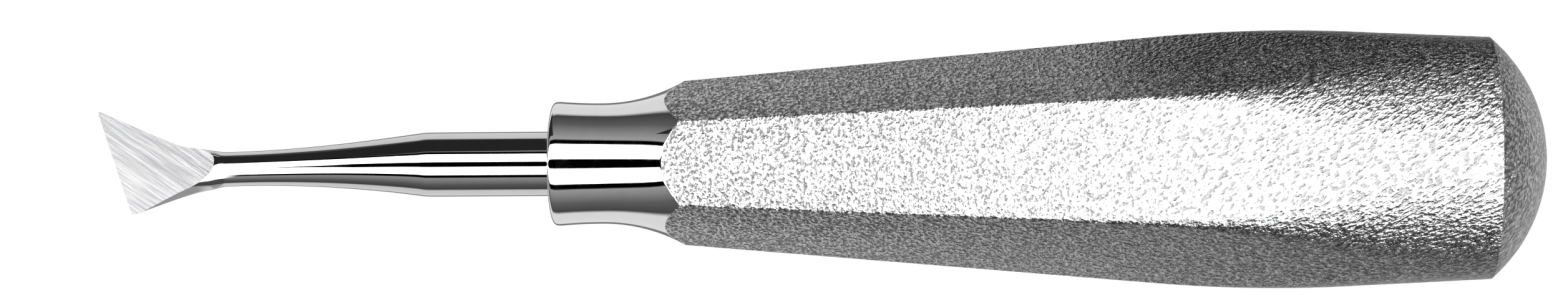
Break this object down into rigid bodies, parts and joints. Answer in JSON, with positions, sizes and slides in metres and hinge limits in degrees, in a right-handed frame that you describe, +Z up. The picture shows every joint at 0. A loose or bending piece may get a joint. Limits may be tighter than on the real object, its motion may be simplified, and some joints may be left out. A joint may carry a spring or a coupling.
{
  "type": "dental elevator",
  "caption": "Dental elevator: a flat flag-shaped blade on a slim polished shank, set in a flared ferrule on a hollow hexagonal blasted-steel handle with a domed butt.",
  "frame": {"origin": "on the surface that the instrument lies on, below the centre of its bounding box", "axes": "+X along the instrument from the blade's tip to the butt; +Y across it, to the side that the blade's sharp tip points to; +Z up, square to the handle facet it lies on"},
  "size_m": [0.1454, 0.0256, 0.0251],
  "materials": {
    "polished_steel": "mirror-polished stainless steel, bright turned and forged surfaces",
    "blasted_steel": "coarse bead-blasted stainless steel, satin with a pebbled grain against slipping",
    "braze_filler": "polished silver braze filler",
    "bare_steel": "bare machined stainless steel, hidden inside the handle"
  },
  "bodies": {
    "root": {"working_end": "polished_steel", "shank_braze": "braze_filler", "ferrule": "polished_steel", "tang_pin": "bare_steel", "neck_weld": "blasted_steel", "grip_shell_upper": "blasted_steel", "grip_shell_lower": "blasted_steel", "seam_weld_plus_y": "blasted_steel", "seam_weld_minus_y": "blasted_steel", "butt_backing_ring": "bare_steel", "butt_weld": "blasted_steel", "butt_cap": "blasted_steel"}
  },
  "joints": []
}
